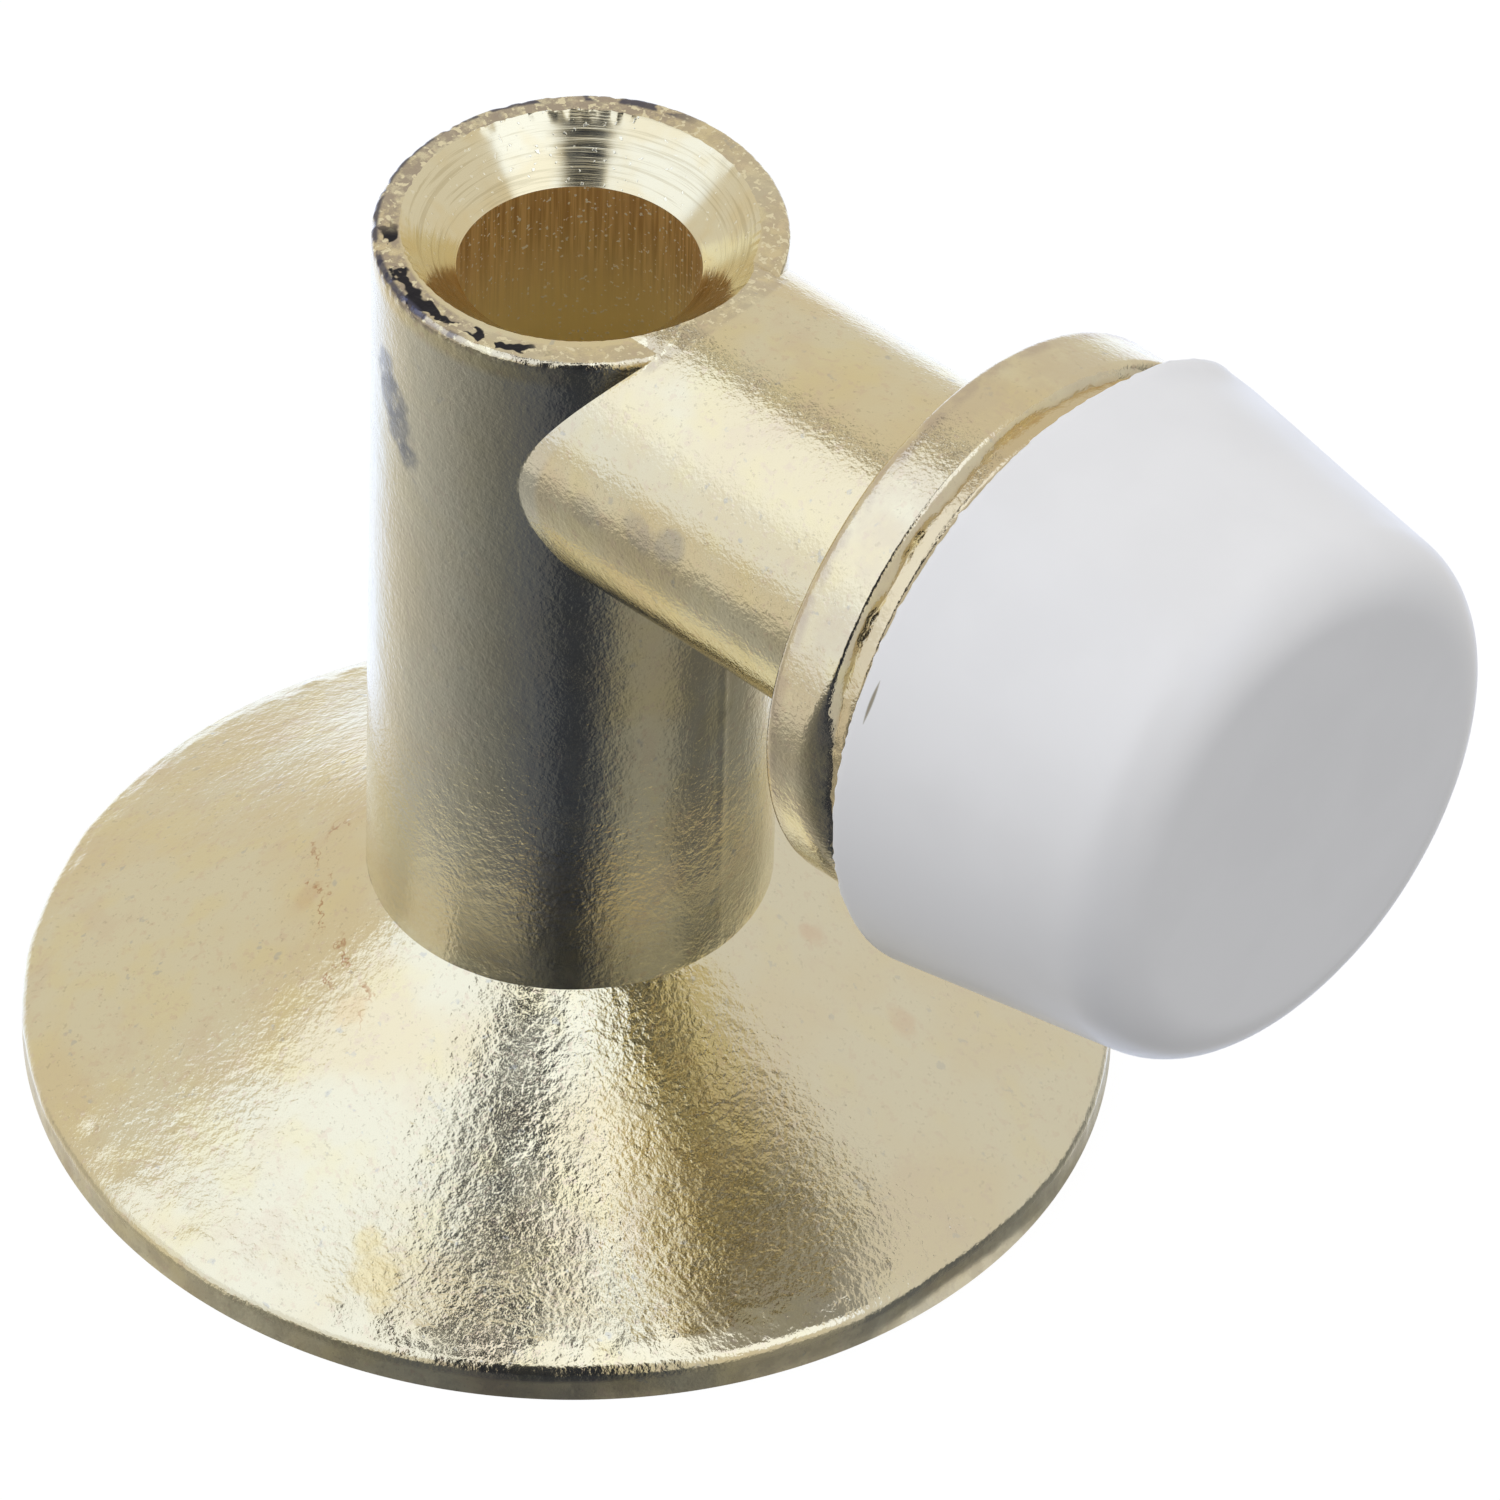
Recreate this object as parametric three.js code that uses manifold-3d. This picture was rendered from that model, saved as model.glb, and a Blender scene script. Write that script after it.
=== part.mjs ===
// Floor-mounted door stop with a side arm: a cast brass body pressed into a conical
// brass floor flange, and a tapered rubber bumper plugged into the cup disc of the arm.
// Millimetres, +Z up. The floor is z = 0, the arm points along +X, and the origin is
// the centre of the bounding box at floor level.

import * as THREE from 'three';
import { mergeVertices } from 'three/addons/utils/BufferGeometryUtils.js';
import Module from 'manifold-3d';

// ---- driving dimensions ------------------------------------------------------------

const FIT_GAP = 0.3; // clearance between pieces that touch on the real object

// Floor flange
const BASE_RADIUS = 19.05; // 1 1/2 in across
const RIM_HEIGHT = 1.3; // straight edge of the flange
const RIM_ROUND = 0.3;
const LAND_INNER_RADIUS = 17.7; // flatter ring between the edge and the cone
const LAND_INNER_Z = 2.0;
const CONE_TOP_Z = 8.0; // where the cone meets the post
const CONE_SAG = 0.25; // how far the cone dips below a straight line
const WALL = 2.2; // thickness of the cone, measured upright
const RIM_WALL = 2.0;
const HUB_WALL = 1.5;
const HUB_BOTTOM_Z = 0.6;

// Post
const POST_HEIGHT = 36.1;
const POST_FOOT_RADIUS = 7.1; // the casting has a little draft
const POST_TOP_RADIUS = 7.0;
const FOOT_CHAMFER = 0.4;
const TOP_ROUND = 0.25;
const BORE_RADIUS = 4.15;
const COUNTERSINK_RADIUS = 6.05;
const COUNTERSINK_DEPTH = 1.8;
const BORE_OFFSET = [-0.2, 0.2]; // the hole is drilled slightly off the post's axis

// Arm and cup disc; distances are from the post's axis
const ARM_Z = 30.55;
const ARM_RADIUS = 6.25;
const ARM_FILLET = 0.5;
const DISC_BACK = 17.95;
const DISC_FRONT = 21.3;
const DISC_RADIUS = 10.2;
const DISC_ROUND = 0.45; // of the back edge
const LIP_X = 20.8; // the front edge is bevelled from here
const LIP_RADIUS = 9.45;
const SOCKET_RADIUS = 3.5;
const SOCKET_DEPTH = 10.8;

// Rubber bumper; distances are from the post's axis
const SKIRT_X = 22.4; // its widest ring
const SKIRT_RADIUS = 11.15; // a little wider than the disc
const SKIRT_ROUND = 0.8;
const TIP_X = 33.1;
const TIP_RADIUS = 9.5; // of the cone, carried on to the tip
const TIP_ROUND = 2.3;
const STEM_LENGTH = 9.5;

// The box runs from the flange's far edge to the bumper's tip, so the post stands off centre.
const POST_X = (BASE_RADIUS - TIP_X) / 2;

const ROUND_SEGMENTS = 60;

// ---- materials ---------------------------------------------------------------------

const castBrass = () => new THREE.MeshStandardMaterial({ color: 0xc9bd94, roughness: 0.35, metalness: 1 });
const flangeBrass = () => new THREE.MeshStandardMaterial({ color: 0xcdc29b, roughness: 0.4, metalness: 1 });
const whiteRubber = () => new THREE.MeshStandardMaterial({ color: 0xd6d7da, roughness: 0.5, metalness: 0 });

// ---- profiles ----------------------------------------------------------------------

// Points of a circular arc, both ends included; angles are in degrees.
function arc(centreX, centreY, radius, from, to, steps) {
  return Array.from({ length: steps + 1 }, (_, i) => {
    const angle = THREE.MathUtils.degToRad(from + ((to - from) * i) / steps);
    return [centreX + radius * Math.cos(angle), centreY + radius * Math.sin(angle)];
  });
}

// Solid of revolution from [radius, height] points that run anticlockwise.
function lathe(points, segments = ROUND_SEGMENTS) {
  return new THREE.LatheGeometry(points.map(([r, z]) => new THREE.Vector2(r, z)), segments);
}

// A lathe that stands along +Z, and one that lies along +X at the arm's height.
const upright = (points) => lathe(points).rotateX(Math.PI / 2);
const lying = (points) => lathe(points).rotateZ(-Math.PI / 2).translate(0, 0, ARM_Z);

// ---- booleans ----------------------------------------------------------------------

const wasm = await Module();
wasm.setup();

function toSolid(geometry) {
  const bare = geometry.clone();
  bare.deleteAttribute('normal');
  bare.deleteAttribute('uv');
  const merged = mergeVertices(bare, 1e-4);
  return new wasm.Manifold(new wasm.Mesh({
    numProp: 3,
    vertProperties: new Float32Array(merged.attributes.position.array),
    triVerts: new Uint32Array(merged.index.array),
  }));
}

function toGeometry(solid) {
  const mesh = solid.getMesh();
  const geometry = new THREE.BufferGeometry();
  geometry.setAttribute('position', new THREE.BufferAttribute(mesh.vertProperties, 3));
  geometry.setIndex(new THREE.BufferAttribute(mesh.triVerts, 1));
  geometry.computeVertexNormals();
  return geometry;
}

// ---- pieces ------------------------------------------------------------------------

function postGeometry() {
  return upright([
    [0, 0],
    [POST_FOOT_RADIUS - FOOT_CHAMFER, 0],
    [POST_FOOT_RADIUS, FOOT_CHAMFER],
    ...arc(POST_TOP_RADIUS - TOP_ROUND, POST_HEIGHT - TOP_ROUND, TOP_ROUND, 0, 90, 3),
    [0, POST_HEIGHT],
  ]);
}

// Arm and cup disc in one turned shape, with the blind socket for the bumper's stem.
function armGeometry() {
  return lying([
    [0, 0],
    [ARM_RADIUS, 0],
    ...arc(ARM_RADIUS + ARM_FILLET, DISC_BACK - ARM_FILLET, ARM_FILLET, 180, 90, 3),
    ...arc(DISC_RADIUS - DISC_ROUND, DISC_BACK + DISC_ROUND, DISC_ROUND, -90, 0, 3),
    [DISC_RADIUS, LIP_X],
    [LIP_RADIUS, DISC_FRONT],
    [SOCKET_RADIUS, DISC_FRONT],
    [SOCKET_RADIUS, DISC_FRONT - SOCKET_DEPTH],
    [0, DISC_FRONT - SOCKET_DEPTH],
  ]);
}

// Screw bore with its countersink, which carries on upwards through the arm's crown.
function screwHoleGeometry() {
  const reach = 2;
  const slope = (COUNTERSINK_RADIUS - BORE_RADIUS) / COUNTERSINK_DEPTH;
  return upright([
    [0, -reach],
    [BORE_RADIUS, -reach],
    [BORE_RADIUS, POST_HEIGHT - COUNTERSINK_DEPTH],
    [COUNTERSINK_RADIUS + slope * reach, POST_HEIGHT + reach],
    [0, POST_HEIGHT + reach],
  ]).translate(BORE_OFFSET[0], BORE_OFFSET[1], 0);
}

function bodyCasting() {
  const solid = toSolid(postGeometry())
    .add(toSolid(armGeometry()))
    .subtract(toSolid(screwHoleGeometry()));
  return new THREE.Mesh(toGeometry(solid), castBrass());
}

// Upper face of the flange at a radius: a cone that dips slightly between its ends.
function coneHeight(radius, hubRadius) {
  const t = (radius - hubRadius) / (LAND_INNER_RADIUS - hubRadius);
  return CONE_TOP_Z + (LAND_INNER_Z - CONE_TOP_Z) * t - 4 * CONE_SAG * t * (1 - t);
}

function baseFlange() {
  const hubRadius = POST_FOOT_RADIUS + FIT_GAP;
  const hubOuter = hubRadius + HUB_WALL;
  const cavityRadius = BASE_RADIUS - RIM_WALL;
  const steps = 6;
  const along = (from, to, i) => from + ((to - from) * i) / steps;
  const underside = Array.from({ length: steps + 1 }, (_, i) => {
    const radius = along(cavityRadius, hubOuter, i);
    return [radius, Math.max(coneHeight(radius, hubRadius) - WALL, HUB_BOTTOM_Z)];
  });
  const upperside = Array.from({ length: steps + 1 }, (_, i) => {
    const radius = along(LAND_INNER_RADIUS, hubRadius, i);
    return [radius, coneHeight(radius, hubRadius)];
  });
  const profile = [
    [hubRadius, HUB_BOTTOM_Z],
    [hubOuter, HUB_BOTTOM_Z],
    ...underside.reverse(),
    [cavityRadius, 0],
    [BASE_RADIUS, 0],
    ...arc(BASE_RADIUS - RIM_ROUND, RIM_HEIGHT, RIM_ROUND, 0, 70, 3),
    ...upperside,
    [hubRadius, HUB_BOTTOM_Z],
  ];
  return new THREE.Mesh(upright(profile), flangeBrass());
}

// Bumper: stem, seat, rounded skirt, tapered side, rounded edge and flat striking face.
function rubberBumper() {
  const seatX = DISC_FRONT + FIT_GAP;
  const stemRadius = SOCKET_RADIUS - FIT_GAP;
  const taper = Math.atan2(SKIRT_RADIUS - TIP_RADIUS, TIP_X - SKIRT_X);
  const edgeCentreX = TIP_X - TIP_ROUND;
  const sideRadius = SKIRT_RADIUS - (edgeCentreX - SKIRT_X) * Math.tan(taper);
  const edgeCentreRadius = sideRadius - TIP_ROUND / Math.cos(taper);
  const taperDegrees = THREE.MathUtils.radToDeg(taper);
  const profile = [
    [0, seatX - STEM_LENGTH],
    [stemRadius - FIT_GAP, seatX - STEM_LENGTH],
    [stemRadius, seatX - STEM_LENGTH + FIT_GAP],
    [stemRadius, seatX],
    ...arc(SKIRT_RADIUS - SKIRT_ROUND, seatX + SKIRT_ROUND, SKIRT_ROUND, -90, 0, 4),
    ...arc(edgeCentreRadius, edgeCentreX, TIP_ROUND, taperDegrees, 90, 8),
    [0, TIP_X],
  ];
  return new THREE.Mesh(lying(profile), whiteRubber());
}

// ---- assembly ----------------------------------------------------------------------

const stop = new THREE.Group();
stop.position.x = POST_X;

const pieces = { body_casting: bodyCasting(), base_flange: baseFlange(), rubber_bumper: rubberBumper() };
for (const [name, mesh] of Object.entries(pieces)) {
  mesh.name = name;
  stop.add(mesh);
}

const group = new THREE.Group();
group.add(stop);

export default group;
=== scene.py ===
"""Looks of the brass door stop: a cast post with a side arm, a conical floor flange and a rubber bumper.

Lengths are in metres. MM turns the object's millimetre sizes into metres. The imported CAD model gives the
places: the floor, the post's axis, the arm's height and where each piece ends.
"""

import math

import bpy
import numpy as np
from mathutils import Euler, Matrix, Vector, noise


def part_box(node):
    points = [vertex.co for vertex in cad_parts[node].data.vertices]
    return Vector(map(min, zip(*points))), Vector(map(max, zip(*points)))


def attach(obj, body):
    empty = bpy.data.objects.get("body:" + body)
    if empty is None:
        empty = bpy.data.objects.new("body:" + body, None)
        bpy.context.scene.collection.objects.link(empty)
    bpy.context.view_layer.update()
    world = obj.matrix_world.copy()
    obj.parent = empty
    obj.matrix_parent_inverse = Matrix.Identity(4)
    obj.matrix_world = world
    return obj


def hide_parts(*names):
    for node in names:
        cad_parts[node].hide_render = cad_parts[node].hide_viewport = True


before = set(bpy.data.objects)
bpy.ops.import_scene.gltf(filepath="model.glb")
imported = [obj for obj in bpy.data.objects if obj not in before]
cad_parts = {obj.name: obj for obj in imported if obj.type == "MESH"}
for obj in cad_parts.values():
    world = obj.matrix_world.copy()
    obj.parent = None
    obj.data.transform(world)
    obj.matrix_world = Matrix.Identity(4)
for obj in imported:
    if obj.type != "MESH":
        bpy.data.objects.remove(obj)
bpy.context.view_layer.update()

MM = 0.001

# ---- places taken from the frame -----------------------------------------------------

CASTING_LOW, CASTING_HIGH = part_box("body_casting")
FLANGE_LOW, FLANGE_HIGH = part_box("base_flange")
BUMPER_LOW, BUMPER_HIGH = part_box("rubber_bumper")

FLOOR_Z = FLANGE_LOW.z
BASE_RADIUS = (FLANGE_HIGH.y - FLANGE_LOW.y) / 2
POST_X = (FLANGE_LOW.x + FLANGE_HIGH.x) / 2
ARM_Z = (BUMPER_LOW.z + BUMPER_HIGH.z) / 2
DISC_FRONT = CASTING_HIGH.x
TIP_X = BUMPER_HIGH.x
SKIRT_RADIUS = (BUMPER_HIGH.z - BUMPER_LOW.z) / 2
DISC_RADIUS = CASTING_HIGH.z - ARM_Z

# ---- sizes of the finished surfaces ---------------------------------------------------

POST_HEIGHT = 36.1 * MM
POST_FOOT_RADIUS = 7.1 * MM
POST_TOP_RADIUS = 7.0 * MM
POST_TOP_ROUND = 0.25 * MM
FLARE = 0.3 * MM  # how far the post's top stands out on its far side
FLARE_TURN = math.radians(110)
FLARE_SPREAD = math.radians(45)
BORE_RADIUS = 4.15 * MM
COUNTERSINK_RADIUS = 6.05 * MM
COUNTERSINK_DEPTH = 1.8 * MM
BORE_OFFSET = Vector((-0.2, 0.2, 0)) * MM

ARM_RADIUS = 6.25 * MM
ARM_FILLET = 0.5 * MM
DISC_BACK = DISC_FRONT - 3.35 * MM
DISC_ROUND = 0.45 * MM
ROLL_X = DISC_FRONT - 0.7 * MM  # where the disc's rolled front edge ends and the turned lip begins
ROLL_ROUND = 1.6 * MM
LIP_RADIUS = DISC_RADIUS - 0.5 * MM
ROLL_TURN = math.acos(1 - (DISC_RADIUS - LIP_RADIUS) / ROLL_ROUND)
ROLL_START = ROLL_X - ROLL_ROUND * math.sin(ROLL_TURN)
TIGHT_ROLL = (math.radians(-88), math.radians(-62))  # turns, from the top, between which the roll tightens
LIP_ROUND = 0.3 * MM
SOCKET_RADIUS = 3.5 * MM
SOCKET_DEPTH = 10.8 * MM

RIM_HEIGHT = 0.88 * MM  # straight wall, below the rounded edge
RIM_BEVEL = 0.6 * MM
LAND_WIDTH = 1.35 * MM
LAND_Z = 2.0 * MM
GATE_FLAT = 0.3 * MM
BURR_WIDTH = 0.25 * MM
CONE_TOP_Z = FLANGE_HIGH.z
CONE_SAG = 0.25 * MM
FLANGE_WALL = 2.2 * MM
RIM_WALL = 2.0 * MM
HUB_WALL = 1.5 * MM
HUB_BOTTOM_Z = 0.6 * MM
PRESS = 0.03 * MM  # how much narrower the flange's hole is than the foot of the post that it's pressed on

STEM_RADIUS = 3.2 * MM
STEM_LENGTH = 9.5 * MM
SEAT_RADIUS = 9.6 * MM
SKIRT_X = DISC_FRONT + 1.1 * MM
SKIRT_ROUND = 0.12 * MM
LIP_TURN = math.radians(30)  # where a lip of flash stands out on the skirt, from the top
LIP_RISE = 0.3 * MM
TIP_RADIUS = 9.5 * MM
TIP_ROUND = 2.3 * MM
SEAT_GAP = 0.02 * MM
BUMPER_TILT = Euler((0, math.radians(-1.0), math.radians(-0.6)))
BUMPER_SHIFT = Vector((0, -0.15, -0.17)) * MM

FINE_SEGMENTS = 256
SKIN_STEP = 0.12 * MM

# Camera: a long lens seen from a side of the arm and above.
VIEW_AZIMUTH = math.radians(42.06)
VIEW_ELEVATION = math.radians(41.81)
VIEW_ROLL = math.radians(1.54)
VIEW_DISTANCE = 547.4 * MM
VIEW_TARGET = Vector((1.26, 0, 17.9)) * MM
LENS = 386.3

# Direction from the object to the camera, on the floor
TOWARDS_CAMERA = Vector((math.sin(VIEW_AZIMUTH), -math.cos(VIEW_AZIMUTH), 0))


# ---- mesh helpers ---------------------------------------------------------------------


def arc(centre_a, centre_b, radius, start, end, steps):
    """Points of a circular arc in a profile's plane; angles in degrees, both ends included."""
    points = []
    for i in range(steps + 1):
        angle = math.radians(start + (end - start) * i / steps)
        points.append((centre_a + radius * math.cos(angle), centre_b + radius * math.sin(angle)))
    return points


def refine(profile, step):
    """The same outline with extra points, so that no stretch is longer than step."""
    out = [profile[0]]
    for (a0, b0), (a1, b1) in zip(profile, profile[1:]):
        count = max(1, math.ceil(math.hypot(a1 - a0, b1 - b0) / step))
        out += [(a0 + (a1 - a0) * i / count, b0 + (b1 - b0) * i / count) for i in range(1, count + 1)]
    return out


def turned(name, profile, segments, closed=False):
    """A solid of revolution about Z from (radius, height) points. Open profiles start and end on the axis."""
    verts, rings = [], []
    for radius, height in profile[:-1] if closed else profile:
        if radius < 1e-9:
            rings.append([len(verts)] * segments)
            verts.append((0, 0, height))
            continue
        rings.append(list(range(len(verts), len(verts) + segments)))
        for k in range(segments):
            angle = 2 * math.pi * k / segments
            verts.append((radius * math.cos(angle), radius * math.sin(angle), height))
    if closed:
        rings.append(rings[0])
    faces = []
    for low, high in zip(rings, rings[1:]):
        for k in range(segments):
            j = (k + 1) % segments
            corners = dict.fromkeys((low[k], low[j], high[j], high[k]))
            faces.append(tuple(corners))
    mesh = bpy.data.meshes.new(name)
    mesh.from_pydata(verts, [], faces)
    mesh.validate()
    piece = bpy.data.objects.new(name, mesh)
    bpy.context.scene.collection.objects.link(piece)
    return piece


def lay_along_x(piece):
    """Turns a solid made about Z so that it lies along X at the arm's height."""
    turn = Matrix.Rotation(math.radians(90), 4, "Y")
    piece.data.transform(Matrix.Translation((0, 0, ARM_Z)) @ turn)


def apply_modifiers(piece):
    depsgraph = bpy.context.evaluated_depsgraph_get()
    mesh = bpy.data.meshes.new_from_object(piece.evaluated_get(depsgraph))
    piece.modifiers.clear()
    piece.data = mesh


def boolean(piece, cutter, operation):
    """Joins or cuts piece with cutter, keeps the cutter's material on the faces that it makes, and removes it."""
    modifier = piece.modifiers.new("boolean", "BOOLEAN")
    modifier.operation = operation
    modifier.solver = "EXACT"
    modifier.object = cutter
    modifier.material_mode = "TRANSFER"
    apply_modifiers(piece)
    bpy.data.objects.remove(cutter)


def ragged(angle, seed, coarsest, finest):
    """An uneven edge's height round a circle, about -2 to 2, from random waves of so many turns."""
    draw = np.random.default_rng(seed)
    count = 30
    waves = draw.integers(coarsest, finest, count)
    phases = draw.uniform(0, 2 * math.pi, count)
    return sum(np.sin(wave * angle + phase) for wave, phase in zip(waves, phases)) / math.sqrt(count / 2)


def move_points(piece, move):
    """Replaces every vertex's place with move(x, y, z), where x, y and z are arrays."""
    mesh = piece.data
    places = np.empty(len(mesh.vertices) * 3)
    mesh.vertices.foreach_get("co", places)
    moved = np.stack(move(*places.reshape(-1, 3).T), axis=1)
    mesh.vertices.foreach_set("co", moved.ravel())
    mesh.update()


def ease(low, high, values):
    """Smoothstep of an array, from 0 at low to 1 at high."""
    t = np.clip((values - low) / (high - low), 0, 1)
    return t * t * (3 - 2 * t)


def displace(piece, height):
    """Moves each vertex along its normal by height(position)."""
    mesh = piece.data
    moves = [v.normal * height(v.co) for v in mesh.vertices]
    for v, move in zip(mesh.vertices, moves):
        v.co += move
    mesh.update()


def shade(piece, angle=35):
    piece.data.shade_smooth()
    piece.data.set_sharp_from_angle(angle=math.radians(angle))


def bumps(position, size, seed):
    """Smooth noise from -1 to 1 whose features are about size across."""
    return noise.noise(position / size + Vector((seed, 2.7 * seed, -1.3 * seed)))


def smoothstep(low, high, value):
    t = min(max((value - low) / (high - low), 0), 1)
    return t * t * (3 - 2 * t)


# ---- material helpers -----------------------------------------------------------------


class Nodes:
    """Short calls for the nodes that the materials here are made of. Patterns are laid out in millimetres."""

    def __init__(self, name):
        self.material = bpy.data.materials.new(name)
        self.material.use_nodes = True
        self.tree = self.material.node_tree
        self.shader = self.tree.nodes["Principled BSDF"]
        place = self.tree.nodes.new("ShaderNodeTexCoord").outputs["Object"]
        self.mm = self.vector("MULTIPLY", place, (1000, 1000, 1000))

    def add(self, kind, inputs=None, **settings):
        node = self.tree.nodes.new(kind)
        for key, value in settings.items():
            setattr(node, key, value)
        for key, value in (inputs or {}).items():
            self.put(node.inputs[key], value)
        return node

    def put(self, socket, value):
        if isinstance(value, bpy.types.NodeSocket):
            self.tree.links.new(value, socket)
        elif socket.type == "RGBA" and len(value) == 3:
            socket.default_value = (*value, 1)
        else:
            socket.default_value = value

    def set(self, **values):
        for key, value in values.items():
            self.put(self.shader.inputs[key.replace("_", " ")], value)

    def math(self, operation, *values, clamp=False):
        return self.add("ShaderNodeMath", dict(enumerate(values)), operation=operation, use_clamp=clamp).outputs[0]

    def vector(self, operation, *values):
        node = self.add("ShaderNodeVectorMath", dict(enumerate(values)), operation=operation)
        return node.outputs["Value" if operation in ("LENGTH", "DISTANCE", "DOT_PRODUCT") else "Vector"]

    def noise(self, per_mm, detail=3.0, roughness=0.5, distortion=0.0, stretch=(1, 1, 1), shift=0.0):
        place = self.vector("MULTIPLY_ADD", self.mm, stretch, (shift, shift, shift))
        settings = {"Vector": place, "Scale": per_mm, "Detail": detail, "Roughness": roughness}
        return self.add("ShaderNodeTexNoise", {**settings, "Distortion": distortion}).outputs["Fac"]

    def between(self, value, low, high, out_low=0.0, out_high=1.0):
        settings = {"Value": value, "From Min": low, "From Max": high, "To Min": out_low, "To Max": out_high}
        return self.add("ShaderNodeMapRange", settings, interpolation_type="SMOOTHSTEP").outputs["Result"]

    def mix(self, factor, first, second):
        node = self.add("ShaderNodeMix", data_type="RGBA")
        for index, value in ((0, factor), (6, first), (7, second)):
            self.put(node.inputs[index], value)
        return node.outputs[2]

    def times(self, *values):
        result = values[0]
        for value in values[1:]:
            result = self.math("MULTIPLY", result, value)
        return result

    def spot(self, centre, radius, edge=0.5, wobble=0.6):
        """A blot round a point, in millimetres from the frame's origin, with an uneven edge."""
        distance = self.vector("DISTANCE", self.mm, centre)
        wobble = min(wobble, radius)
        uneven = self.math("MULTIPLY_ADD", self.noise(0.9), wobble * 2, distance)
        return self.between(uneven, radius + wobble, radius + wobble - edge)

    def sliver(self, start, end, radius):
        """A thin mark from one point to another, in millimetres, widest in its middle."""
        start, end = Vector(start), Vector(end)
        axis = (end - start) / (end - start).length_squared
        offset = self.vector("SUBTRACT", self.mm, tuple(start))
        along = self.math("ADD", self.vector("DOT_PRODUCT", offset, tuple(axis)), 0.0, clamp=True)
        nearest = self.add("ShaderNodeVectorMath", {0: tuple(end - start), "Scale": along}, operation="SCALE")
        distance = self.vector("DISTANCE", offset, nearest.outputs["Vector"])
        middle = self.times(along, self.math("SUBTRACT", 1.0, along), 4 * radius)
        return self.between(self.math("SUBTRACT", distance, middle), 0.03, -0.03)

    def apart(self):
        """The place in millimetres as three values."""
        node = self.add("ShaderNodeSeparateXYZ", {"Vector": self.mm})
        return node.outputs["X"], node.outputs["Y"], node.outputs["Z"]

    def polar(self, across, up, centre_across, centre_up):
        """Distance and angle from an axis, for the two values that lie across it."""
        a = self.math("SUBTRACT", across, centre_across)
        b = self.math("SUBTRACT", up, centre_up)
        distance = self.math("SQRT", self.math("MULTIPLY_ADD", a, a, self.math("MULTIPLY", b, b)))
        return distance, self.math("ARCTAN2", b, a)

    def bump(self, height, distance_mm, normal=None):
        inputs = {"Height": height, "Distance": distance_mm * MM, "Strength": 1.0}
        if normal:
            inputs["Normal"] = normal
        return self.add("ShaderNodeBump", inputs).outputs["Normal"]


# ---- materials ------------------------------------------------------------------------

PALE_BRASS = (0.84, 0.775, 0.55)
WARM_BRASS = (0.83, 0.72, 0.46)
YELLOW_BRASS = (0.87, 0.76, 0.42)
# Cooler, greyer tint, painted on some sides as a reflection of cooler light
COOL_REFLECTION_TINT = (0.80, 0.80, 0.72)
PINK_STAIN = (0.78, 0.64, 0.46)
GREY_STAIN = (0.52, 0.52, 0.48)
BLUE_STAIN = (0.29, 0.31, 0.35)
# Colour of a painted dark reflection streak
DARK_REFLECTION_STREAK = (0.46, 0.45, 0.42)
YELLOW_STAIN = (0.86, 0.70, 0.33)
DARK_PIT = (0.10, 0.08, 0.06)

# Stain spots, pits and painted dark reflection streaks, as (place in the frame in millimetres, radius in
# millimetres, colour, strength)
CASTING_STAINS_AND_REFLECTIONS = [
    ((-9.9, -6.4, 32.2), 1.0, BLUE_STAIN, 0.7),
    ((-9.4, -6.6, 31.3), 1.2, BLUE_STAIN, 0.7),
    ((-8.9, -6.8, 30.4), 1.0, BLUE_STAIN, 0.75),
    ((-8.4, -6.9, 29.6), 0.8, BLUE_STAIN, 0.85),
    # painted dark reflection streak along the arm's upper flank, just above its bright flank
    ((2.9, -6.1, 31.9), 0.9, DARK_REFLECTION_STREAK, 0.5),
    ((1.6, -6.2, 31.7), 0.9, DARK_REFLECTION_STREAK, 0.4),
    ((-0.9, -6.2, 31.3), 0.9, DARK_REFLECTION_STREAK, 0.3),
    ((-0.1, 0.1, 18.8), 0.5, (0.25, 0.24, 0.2), 0.5),
]
FLANGE_STAINS = [
    ((-1.2, -15.7, 2.5), 1.1, YELLOW_STAIN, 0.55),
    ((-0.2, -16.4, 2.2), 0.7, YELLOW_STAIN, 0.5),
    ((-2.2, -15.0, 2.8), 0.7, YELLOW_STAIN, 0.5),
    ((-12.9, -7.0, 6.6), 0.8, (0.72, 0.50, 0.28), 0.35),
    ((-8.3, -9.7, 6.3), 0.8, (0.80, 0.58, 0.30), 0.4),
    ((1.05, 3.6, 6.9), 0.6, (0.75, 0.52, 0.38), 0.35),
    ((4.8, 4.5, 4.6), 0.8, (0.75, 0.52, 0.38), 0.3),
    ((-18.7, -2.67, 4.99), 0.05, DARK_PIT, 0.8),
    ((-22.04, -6.64, 2.62), 0.05, DARK_PIT, 0.8),
    ((-9.54, -18.34, 1.7), 0.1, DARK_PIT, 0.7),
    ((-3.63, -17.89, 1.81), 0.25, DARK_PIT, 0.5),
    ((-0.7, -17.9, 1.6), 0.3, DARK_PIT, 0.5),
]
# Place of a tear in the skirt, painted as a dark sliver of shade
RUBBER_TEAR = ((15.60, -9.68, 36.08), (15.57, -10.41, 34.65))


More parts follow.
